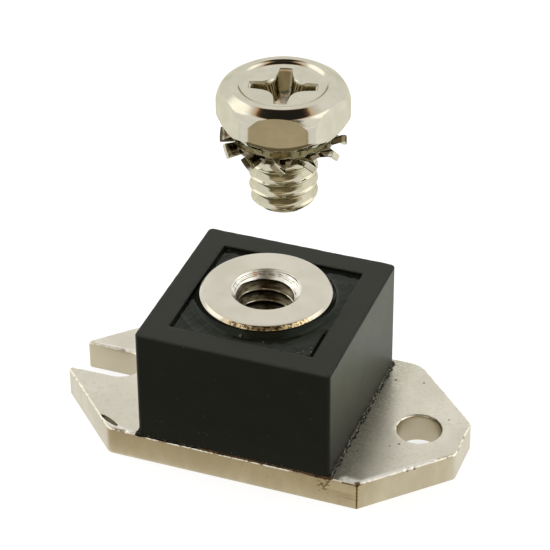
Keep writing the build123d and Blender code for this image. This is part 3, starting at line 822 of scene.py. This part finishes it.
def stamped_nickel():
    """Satin nickel over stamped copper, with warm sheared sides.

    Over it lie the marks of use: a dark gouge with scuffs beside it, brown in one corner,
    a pale haze, rubbed and chipped edges, and a few pits. The sides' warmth is partly copper
    under thin plating and partly a painted reflection; painted shade darkens the walls of the
    slot and the hole, and a painted highlight runs in broken dashes along the rolled top edge.
    """
    f = Finish("nickel_on_stamped_copper")
    cut = f.node("ShaderNodeAttribute", {"attribute_name": "cut_edge"}, out="Fac")
    blotch = f.noise(5.0, 3.0)
    grain = f.noise(0.28, 4.0)
    fine = f.noise(0.12, 3.0)
    top = f.mix((0.64, 0.605, 0.50), (0.73, 0.69, 0.58), blotch.smooth(0.35, 0.68))
    # The sheared sides are warmer and a little darker: partly copper under thin plating, partly a
    # painted reflection of warm surroundings.
    streak = f.noise(0.8, 3.0, (1, 1, 3))
    side_share = (streak * 0.4 + blotch * 0.6).smooth(0.38, 0.72)
    side = f.mix((0.60, 0.55, 0.43), (0.70, 0.65, 0.53), side_share)
    f.tone = f.mix(top, side, cut)
    on_top, on_front = 1 - cut, f.y.fade(-9.62, -9.55)
    # Painted shade: the slot's walls are darkened and warmed, as shade and the floor's reflection
    # inside the slot.
    slot_wall_shade = f.x.fade(-13.2, -13.0) * abs(f.y).fade(2.15, 2.3)
    f.lay((0.52, 0.465, 0.34), slot_wall_shade * f.z.fade(2.75, 2.9) * 0.9)

    # Painted highlight: cream dashes along the rolled top edge and a strip of the front face below
    # it, with dark dashes between, stand in for the edge's broken highlight.
    band = f.z.band(2.76, 2.81, 2.89, 2.93)
    lower = on_front * f.z.smooth(2.64, 2.70) * f.x.band(-8.8, -8.2, 6.0, 7.2)
    band = band.most(lower)
    dashes = f.noise(0.50, 3.0)
    soft = f.x.smooth(-12.6, -11.8, 0.5, 1.0)
    f.lay((0.97, 0.90, 0.72), band * dashes.smooth(0.42, 0.48) * soft)
    f.lay((0.20, 0.15, 0.08), band * dashes.fade(0.36, 0.42) * 0.8 * soft)

    scuff = f.near_line((-11.3, -9.25), (-9.75, -9.62), 0.30)
    scuff = scuff.most(f.near_line((-13.9, -8.2), (-11.9, -9.35), 0.14))
    scuff = scuff.most(f.near_line((-18.6, 2.25), (-13.6, 2.30), 0.34) * 0.8)
    f.lay((0.90, 0.87, 0.80), scuff * on_top * (fine + 0.3).least(1.0))
    haze = f.near_line((11.0, -9.40), (12.2, -9.45), 0.75)
    haze = haze.most(f.near_line((12.2, -9.45), (17.9, -3.9), 0.34))
    # Mottled darker patches on the top, strongest at the case's right wall and fading out over
    # about 3 mm, with a few paler specks.
    beside_case_wall = f.near_line((9.6, -9.0), (9.6, 9.0), 3.4)
    mottle = f.noise(0.24, 4.0)
    f.lay((0.40, 0.39, 0.29), mottle.smooth(0.15, 0.75) * beside_case_wall * on_top * 0.9)
    f.lay((0.80, 0.78, 0.70), mottle.fade(0.34, 0.40) * beside_case_wall * on_top * 0.25)
    f.lay((0.46, 0.44, 0.34), grain.smooth(0.50, 0.70) * on_top * 0.30)
    # Painted shade: the hole's wall is darkened and warmed, as shade and the floor's reflection
    # inside the hole.
    from_hole = ((f.x - HOLE_X) * (f.x - HOLE_X) + f.y * f.y) ** 0.5
    hole_wall_shade = from_hole.fade(HOLE_R + 0.02, HOLE_R + 0.06)
    f.lay((0.50, 0.44, 0.31), hole_wall_shade * f.z.fade(2.86, 2.93) * 0.9)
    haze = (haze * on_top * (0.55 + fine.smooth(0.40, 0.62) * 0.75)).least(1.0)
    f.lay((0.93, 0.915, 0.86), haze)

    along, off = f.line(GOUGE_A, GOUGE_B)
    wide = (along * (1 - along) * 4).most(0.0001) ** 0.5 * GOUGE_HALF
    gouge = (off / wide).fade(0.72, 1.0) * f.z.smooth(2.4, 2.6)
    f.lay(f.mix((0.075, 0.065, 0.032), (0.16, 0.145, 0.10), fine), gouge)

    lean = f.x + (2.95 - f.z) * 0.62
    patch = on_front * lean.smooth(9.86, 9.92) * f.z.smooth(1.68, 1.78)
    f.lay((0.80, 0.76, 0.62), patch * 0.55)
    step = on_front * (abs(lean - 9.84)).fade(0.05, 0.13) * f.z.smooth(1.7, 1.9)
    f.lay((0.13, 0.10, 0.06), step * fine.smooth(0.35, 0.6))
    crumbs = on_front * f.x.band(8.3, 8.7, 9.5, 9.8) * f.z.smooth(1.0, 1.4)
    f.lay((0.20, 0.155, 0.09), crumbs * f.noise(0.30, 4.0).smooth(0.50, 0.60) * 0.8)
    under = on_front * f.x.smooth(9.6, 10.2) * (abs(f.z - 1.25)).fade(0.15, 0.35)
    smear = f.noise(0.5, 2.0, (3, 1, 0.6)).smooth(0.40, 0.7)
    f.lay((0.34, 0.25, 0.16), under * smear * 0.35)

    bar = f.line((10.9, -9.72), (12.28, -9.72))[1].least(f.line((12.28, -9.72), (12.62, -9.42))[1])
    crust = f.noise(0.22, 3.0)
    stain = (bar / (0.03 + 0.09 * crust)).fade(0.6, 1.2)
    stain = stain * (f.z + 0.25 * crust).smooth(2.80, 2.90)
    funnel = f.z.smooth(2.40, 2.94) * f.z.smooth(2.40, 2.94)
    drip = f.line((12.28, -9.80), (12.28, -9.60))[1] / (0.025 + 0.11 * crust + 0.30 * funnel)
    stain = stain.most(drip.fade(0.5, 1.2)) * f.z.fade(2.945, 2.955)
    brown = f.mix((0.09, 0.045, 0.018), (0.30, 0.19, 0.09), fine.smooth(0.45, 0.65))
    f.lay(brown, stain)

    pits = f.noise(0.16, 2.0).smooth(0.72, 0.78) * f.noise(2.6, 1.0).smooth(0.50, 0.62)
    for x, y, size in (
            (10.75, 6.46, 0.20), (13.41, 6.92, 0.16), (17.34, 2.24, 0.14), (14.05, -2.79, 0.18),
            (15.98, -6.10, 0.22), (16.47, -5.56, 0.20), (13.35, -3.35, 0.12), (10.75, -5.05, 0.13)):
        pits = pits.most(f.near_spot(x, y, size) * f.z.smooth(2.6, 2.7))
    f.lay((0.06, 0.05, 0.03), pits * 0.9)
    # Painted highlight: near-white glints on the front face's strip, made less metallic there.
    painted_edge_glint = lower * dashes.smooth(0.42, 0.48)
    f.lay((1.0, 0.98, 0.88), painted_edge_glint * dashes.smooth(0.48, 0.56))
    f.feed("Metallic", (1 - haze.most(scuff * on_top * 0.8) * 0.8).least(1 - painted_edge_glint))
    f.feed("Base Color", f.tone)
    f.feed("Roughness", 0.27 + 0.10 * f.noise(1.3, 4.0) + 0.05 * grain + 0.06 * cut)
    f.bump(fine * 0.5 + grain * 0.5 + blotch * 1.5, 0.010, 0.6)
    return f.material


def turned_nickel():
    """Nickel on a turned part: faint rings about the axis, and painted shade down the thread.

    The countersink is pale and scored, with a painted orange glint, and the flange carries
    painted reflections: dark all round its side, gold and dark on the bevel's front.
    """
    f = Finish("nickel_on_turned_brass", Metallic=1.0)
    radius = (f.x * f.x + f.y * f.y) ** 0.5
    rings = f.noise(0.12, 3.0, place=f.vector(radius, f.z, 0.0))
    blotch, patches = f.noise(3.0, 3.0), f.noise(0.32, 3.0)
    f.tone = f.mix((0.595, 0.557, 0.456), (0.665, 0.626, 0.525), blotch.smooth(0.3, 0.7))
    # Painted shade down the bore: it is darkened brown, with painted glints in patches, and its
    # flanks and roots are painted nearly black.
    deep = f.z.fade(13.9, 14.7) * radius.fade(3.3, 3.6)
    glints = f.noise(1.1, 1.0).smooth(0.40, 0.55)
    f.lay(f.mix((0.26, 0.22, 0.13), (0.75, 0.71, 0.60), glints), deep)
    root = f.mix((0.030, 0.023, 0.010), (0.060, 0.047, 0.021), blotch)
    f.lay(root, deep * radius.smooth(2.635, 2.680))
    sunk = radius.fade(3.20, 3.30)
    turned = f.noise(0.20, 3.0, place=f.vector(f.x * 0.25, f.y * 0.25, f.z)).smooth(0.42, 0.58)
    f.lay((0.95, 0.93, 0.86), sunk * (1 - deep) * 0.9)
    wavy = radius + 0.10 * f.noise(1.1, 2.0)
    scored = f.noise(0.09, 2.0, place=f.vector(wavy, f.z, 0.0)).smooth(0.50, 0.62)
    f.lay((0.16, 0.14, 0.10), sunk * scored * f.noise(0.7, 2.0).smooth(0.35, 0.55))
    f.lay((0.30, 0.27, 0.20), sunk * turned * 0.25)
    # Painted glint: a small orange spot on the back of the countersink.
    painted_orange_glint = f.near_spot(-1.95, 2.25, 0.42) * f.z.smooth(14.3, 14.5)
    painted_orange_glint = painted_orange_glint * f.noise(0.16, 3.0).smooth(0.46, 0.56)
    f.lay((0.55, 0.25, 0.09), painted_orange_glint * 0.8)
    # Painted reflections: the flange's side below the bevel is darkened all round, and the bevel's
    # front, facing the camera, is laid in gold and dark patches.
    bevel = radius.smooth(5.87, 5.92)
    f.lay((0.10, 0.08, 0.05), bevel * f.z.fade(14.96, 15.01))
    toward = f.x * 0.354 - f.y * 0.935
    front_bevel_reflection = bevel * toward.smooth(4.1, 5.3) * f.z.smooth(14.96, 15.01)
    f.lay((0.74, 0.56, 0.31), front_bevel_reflection * patches.smooth(0.36, 0.52))
    f.lay((0.075, 0.05, 0.02), front_bevel_reflection * patches.fade(0.46, 0.53) * 0.9)
    f.feed("Base Color", f.tone)
    f.feed("Roughness", 0.22 + 0.10 * rings + 0.06 * blotch - 0.12 * bevel)
    f.bump(rings, 0.006, 0.5)
    return f.material


def bright_nickel(name):
    """Bright nickel on cold-headed steel: nearly a mirror, with soft swells and fine marks.

    Painted shade darkens the cross recess to brown, down to a pale warm floor, and a painted
    shadow of the head lies on the washer. The ends of the washer's teeth are patchy. The shank
    is paler, with a painted highlight on its thread's crests.
    """
    f = Finish(name, Metallic=1.0, Specular_Tint=(0.70, 0.72, 0.62, 1))
    blotch = f.noise(1.6, 3.0)
    f.tone = f.mix((0.575, 0.545, 0.442), (0.64, 0.602, 0.502), blotch.smooth(0.3, 0.7))
    dish = SCREW_SEAT + HEAD_TOP - DISH_DEPTH
    # Painted shade: the cross recess is darkened brownish, lightening to a pale warm floor.
    below = f.z.band(dish - 2.4, dish - 2.2, dish - 0.30, dish - 0.08)
    inside = f.near_spot(SCREW_X, 0.0, 3.6).smooth(0.0, 0.1) * below
    floor_share = f.z.fade(dish - 1.96, dish - 1.88)
    recess_shade = f.mix((0.30, 0.25, 0.16), (0.50, 0.46, 0.34), f.noise(0.5, 2.0, (1, 1, 4)))
    f.lay(f.mix(recess_shade, (1.0, 0.90, 0.70), floor_share), inside)
    radius = ((f.x - SCREW_X) * (f.x - SCREW_X) + f.y * f.y) ** 0.5
    low = f.z.fade(SCREW_SEAT - 0.3, SCREW_SEAT - 0.2)
    ends = radius.smooth(5.52, 5.56) * low
    patchy = f.noise(3.2, 1.0).smooth(0.47, 0.53)
    f.lay(f.mix((0.050, 0.040, 0.020), (0.60, 0.57, 0.46), patchy), ends)
    # Painted shadow: the head's shadow laid dark on the washer beneath its rim.
    head_shadow_on_washer = low * radius.band(4.1, 4.3, 5.15, 5.30)
    head_shadow_on_washer = head_shadow_on_washer * f.z.smooth(SCREW_SEAT - 1.9, SCREW_SEAT - 1.7)
    f.lay((0.13, 0.10, 0.055), head_shadow_on_washer * 0.85)
    shank = f.z.fade(SCREW_SEAT - 3.0, SCREW_SEAT - 2.2)
    f.lay(f.mix((0.50, 0.465, 0.335), (0.66, 0.625, 0.49), f.noise(1.0, 2.0)), shank)
    # Painted highlight on the crests of the shank's thread.
    f.lay((0.85, 0.82, 0.69), shank * radius.smooth(3.045, 3.065) * 0.7)
    f.feed("Base Color", f.tone)
    gloss = 0.06 + 0.08 * f.noise(0.7, 4.0)
    f.feed("Roughness", gloss.most(0.42 * floor_share * inside).most(0.3 * ends))
    f.bump(f.noise(0.9, 2.0) + 0.08 * f.noise(0.15, 2.0), 0.012, 0.5)
    return f.material


def case_plastic():
    """Glass-filled moulding: fine matt skin, a little dust, a rim painted paler, partly dust and
    partly painted sheen, and a painted sheen on the right face.
    """
    f = Finish("black_moulding", Specular_IOR_Level=0.09, Specular_Tint=(0.92, 1.0, 0.85, 1))
    speck = f.noise(0.10, 2.0)
    f.tone = f.mix((0.0094, 0.0099, 0.0080), (0.0130, 0.0136, 0.0110), f.noise(2.5, 4.0))
    # The top rim is painted paler: partly dust, partly a painted sheen in place of its reflection.
    f.lay((0.027, 0.0275, 0.0225), f.z.smooth(14.30, 14.44))
    specks = f.noise(0.16, 1.0).smooth(0.76, 0.79) * f.noise(2.0, 1.0).smooth(0.5, 0.6)
    f.lay((0.12, 0.12, 0.10), specks)
    # Painted sheen on the right face, growing upwards and towards the back.
    painted_sheen = (f.z + f.y * 0.35).smooth(0.5, 13.0) * f.z.fade(14.25, 14.35)
    painted_sheen = painted_sheen * f.x.smooth(9.58, 9.64) * (0.5 + 0.5 * f.noise(5.0, 2.0))
    f.lay((0.081, 0.088, 0.060), painted_sheen)
    dust = speck.smooth(0.76, 0.80) * f.noise(3.0, 1.0).smooth(0.45, 0.6)
    f.lay((0.16, 0.16, 0.13), dust)
    f.feed("Base Color", f.tone)
    f.feed("Roughness", 0.36 + 0.10 * f.noise(0.5, 5.0))
    f.bump(f.noise(0.07, 4.0) + 0.6 * f.noise(0.6, 2.0), 0.012, 0.6)
    return f.material


def glue():
    """Cured glue: black, lumpy, with rubbed pale flecks."""
    f = Finish("cured_black_glue", Specular_IOR_Level=0.10)
    fleck = f.noise(0.13, 2.0).smooth(0.60, 0.66) * f.y.smooth(-9.6, -9.2, 0.15, 0.7)
    edge = f.z.band(3.02, 3.08, 3.16, 3.24)
    edge = edge * f.noise(0.30, 3.0).smooth(0.40, 0.70) * 0.35
    fringe = f.y.fade(-9.6, -9.4) * f.z.fade(3.10, 3.16)
    fringe = fringe * f.x.smooth(-5.0, -2.5) * f.noise(0.9, 3.0).smooth(0.35, 0.6)
    black = f.mix((0.007, 0.006, 0.004), (0.085, 0.042, 0.012), fringe)
    pale = fleck.most(edge * f.y.smooth(-9.3, -9.1))
    f.feed("Base Color", f.mix(black, (0.46, 0.44, 0.36), pale))
    f.feed("Roughness", 0.35 + 0.35 * f.noise(0.25, 3.0))
    f.bump(f.noise(0.12, 4.0), 0.04, 0.9)
    return f.material


def resin():
    """Poured resin: deep black gloss with dust on its skin."""
    f = Finish("poured_black_resin", Specular_IOR_Level=0.165, Specular_Tint=(0.80, 1.0, 0.74, 1))
    dust = f.noise(0.08, 2.0).smooth(0.76, 0.80)
    for x, y, size in (
            (5.51, -6.64, 0.14), (6.44, -5.49, 0.12), (6.87, -6.95, 0.13), (5.9, -6.3, 0.09),
            (2.08, -6.42, 0.10), (-0.08, -6.47, 0.16), (6.6, -6.2, 0.08)):
        dust = dust.most(f.near_spot(x, y, size) * f.noise(0.09, 2.0).smooth(0.42, 0.55))
    f.feed("Base Color", f.mix((0.0085, 0.0090, 0.0070), (0.22, 0.22, 0.18), dust))
    f.feed("Roughness", 0.07 + 0.10 * f.noise(0.9, 3.0))
    f.bump(f.noise(0.5, 3.0), 0.010, 0.4)
    return f.material


def plain_inner(name, low, high, metallic, roughness, size):
    """Finish of a piece that is closed in: two tones in soft blotches over a fine grain."""
    f = Finish(name, Metallic=metallic)
    f.feed("Base Color", f.mix(low, high, f.noise(size, 4.0).smooth(0.35, 0.65)))
    f.feed("Roughness", roughness + 0.12 * f.noise(size / 3, 3.0))
    f.bump(f.noise(size / 5, 3.0), 0.008, 0.6)
    return f.material


def finish_inner_nodes():
    """Give each piece inside the case the finish of its own metal or gel."""
    solder = plain_inner("solder", (0.42, 0.42, 0.43), (0.58, 0.58, 0.59), 1.0, 0.30, 0.8)
    molybdenum = plain_inner(
        "lapped_molybdenum", (0.40, 0.40, 0.42), (0.50, 0.50, 0.52), 1.0, 0.32, 0.5)
    silicon = plain_inner(
        "metallised_silicon", (0.14, 0.15, 0.18), (0.20, 0.21, 0.24), 1.0, 0.12, 1.5)
    copper = plain_inner("soft_copper", (0.66, 0.33, 0.20), (0.80, 0.44, 0.30), 1.0, 0.28, 1.2)
    gel = plain_inner("clear_gel", (0.50, 0.51, 0.50), (0.60, 0.61, 0.60), 0.0, 0.20, 2.0)
    inner = (
        (solder, "base_solder die_solder anode_solder strap_solder terminal_solder"),
        (molybdenum, "lower_buffer_plate upper_buffer_plate"), (silicon, "silicon_die"),
        (copper, "anode_strap"), (gel, "silicone_gel"))
    for material, nodes in inner:
        for node in nodes.split():
            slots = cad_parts[node].data.materials
            slots.clear()
            slots.append(material)


# ---------------------------------------------------------------- studio

def camera():
    """Long lens, looking down on the corner between the plate's front and its hole end."""
    yaw, pitch, roll = np.radians([20.517, 34.67, -0.383])
    look = np.array([-math.sin(yaw) * math.cos(pitch), math.cos(yaw) * math.cos(pitch),
                     -math.sin(pitch)])
    level = np.cross(look, (0, 0, 1))
    level /= np.linalg.norm(level)
    steep = np.cross(level, look)
    right = level * math.cos(roll) + steep * math.sin(roll)
    up = steep * math.cos(roll) - level * math.sin(roll)
    data = bpy.data.cameras.new("camera")
    data.sensor_width, data.lens = 36.0, 166.74
    data.clip_start, data.clip_end = 0.01, 10.0
    shown = bpy.data.objects.new("camera", data)
    shown.matrix_world = Matrix([
        [right[0], up[0], -look[0], 0.068216], [right[1], up[1], -look[1], -0.179951],
        [right[2], up[2], -look[2], 0.149949], [0, 0, 0, 1]])
    bpy.context.collection.objects.link(shown)
    bpy.context.scene.camera = shown


def sheet(name, low, high, height):
    """Level rectangle that belongs to the stage, from corner low to corner high."""
    (left, front), (right, back) = low, high
    data = bpy.data.meshes.new(name)
    data.from_pydata([(left, front, height), (right, front, height), (right, back, height),
                      (left, back, height)], [], [(0, 1, 2, 3)])
    material = bpy.data.materials.new(name)
    material.use_nodes = True
    data.materials.append(material)
    shown = bpy.data.objects.new(name, data)
    bpy.context.collection.objects.link(shown)
    return shown, material.node_tree


def floor():
    """Pale floor, partly self-lit so that it stays white but still takes a soft shadow."""
    tree = sheet("floor", (-3, -3), (3, 3), -2e-5)[1]
    surface = tree.nodes["Principled BSDF"].inputs
    surface["Base Color"].default_value = (0.30, 0.30, 0.297, 1)
    surface["Roughness"].default_value = 1.0
    surface["Specular IOR Level"].default_value = 0.0
    surface["Emission Color"].default_value = (1, 1, 1, 1)
    surface["Emission Strength"].default_value = 0.81


def softbox(name, place, aim, width, height, power):
    """White area lamp that polished surfaces don't mirror."""
    data = bpy.data.lights.new(name, "AREA")
    data.shape, data.size, data.size_y, data.energy = "RECTANGLE", width, height, power
    shown = bpy.data.objects.new(name, data)
    shown.location = place
    shown.rotation_mode = "QUATERNION"
    shown.rotation_quaternion = (Vector(aim) - Vector(place)).to_track_quat("-Z", "Y")
    shown.visible_glossy = False
    bpy.context.collection.objects.link(shown)


def studio():
    """White surroundings with a dark opening overhead and a dim room behind the camera.

    Two bright areas stand high on the left and on the right; two soft boxes throw the
    shadows and are not mirrored.
    """
    world = bpy.data.worlds.new("studio")
    world.use_nodes = True
    sky = Shader(world.node_tree)
    place = sky.node("ShaderNodeTexCoord", out="Generated")

    def toward(direction):
        """Cosine of the angle between the view direction and this one."""
        return sky.node("ShaderNodeVectorMath", {"operation": "DOT_PRODUCT"},
                        {0: place, 1: direction}, "Value")

    white, black = (1, 1, 1), (0.02, 0.018, 0.015)
    opening = ((0.0, white), (0.78, white), (0.87, (0.80, 0.77, 0.71)), (0.900, (0.80, 0.54, 0.33)),
               (0.917, (0.10, 0.05, 0.03)), (0.940, black), (1.0, black))
    tone = sky.node("ShaderNodeValToRGB", {"stops": opening}, {0: toward((0.02, -0.06, 0.998))})
    # Colour, direction, cosines where it starts and is full, and the most that it covers
    for colour, direction, low, high, most in (
            ((0.10, 0.082, 0.05), (0.279, -0.737, 0.614), 0.84, 0.935, 0.94),
            ((0.42, 0.355, 0.23), (0.35, -0.935, 0.10), 0.78, 0.90, 0.96),
            ((1.7, 1.68, 1.6), (-0.80, -0.05, 0.60), 0.90, 0.975, 1.0),
            ((1.7, 1.68, 1.6), (0.80, 0.20, 0.57), 0.90, 0.975, 1.0)):
        tone = sky.mix(tone, colour, toward(direction).smooth(low, high) * most)
    sky.tree.links.new(tone.socket, sky.tree.nodes["Background"].inputs["Color"])
    bpy.context.scene.world = world
    softbox("key", (-0.50, 0.10, 0.36), (0, 0, 0.01), 0.45, 0.45, 2.0)
    softbox("fill", (0.48, 0.05, 0.30), (0, 0, 0.01), 0.40, 0.35, 0.7)


def tan_board():
    """Tan board in front of the object that only polished surfaces pick up.

    It is white up to the object, warms, turns tan about a centimetre in front and has a deep
    brown band beyond. Both sides are white, and so is its left half until it is clear of the
    object. Stops are in millimetres.
    """
    shown, tree = sheet("tan_board", (-0.25, -0.30), (0.25, 0.0), -1e-5)
    shown.visible_camera = shown.visible_diffuse = shown.visible_shadow = False
    shown.visible_transmission = shown.visible_volume_scatter = False
    tree.nodes.remove(tree.nodes["Principled BSDF"])
    board = Shader(tree)
    _, x, y, _ = board.place_mm()

    def run(value, low, high, stops):
        """Colours between the stops along one direction."""
        stops = [((spot - low) / (high - low), colour) for spot, colour in stops]
        return board.node("ShaderNodeValToRGB", {"stops": stops}, {0: (value - low) / (high - low)})

    def rise(value, low, high):
        """0 below low, 1 above high, and straight between."""
        return board.node("ShaderNodeMapRange", {}, {0: value, 1: low, 2: high})

    white, warm, tan, shade = (1, 1, 1), (0.83, 0.79, 0.68), (0.55, 0.47, 0.32), (0.82, 0.78, 0.70)
    deep, far = (0.16, 0.13, 0.07), (0.24, 0.20, 0.115)
    away = run(0 - y, 0, 100, (
        (0, white), (2.55, white), (3.4, warm), (8.0, warm), (11.5, tan), (13.5, tan), (17.5, deep),
        (44, deep), (49, tan), (66, tan), (72, far), (100, far)))
    side = run(x, -50, 70, (
        (-50, white), (35.2, white), (40, shade), (44.8, shade), (49.6, white)))
    ahead, right = rise(0 - y, 9.5, 10.1), rise(x, -10, 10)
    within = rise(x, -26, -18.8) * rise(0 - x, -49.6, -41.2) * (ahead + right - ahead * right)
    tone = board.mix(board.mix(white, away, within), side, 1.0, "MULTIPLY")
    glow = board.node("ShaderNodeEmission", {}, {"Color": tone})
    tree.links.new(glow.socket, tree.nodes["Material Output"].inputs["Surface"])


camera()
floor()
tan_board()
studio()
base_plate(stamped_nickel())
case(case_plastic())
glue_bead(glue())
potting(resin())
terminal(turned_nickel())
terminal_screw(bright_nickel("bright_nickel_on_steel"))
lock_washer(bright_nickel("bright_nickel_on_spring_steel"))
finish_inner_nodes()

view = bpy.context.scene.view_settings
view.view_transform = "Standard"
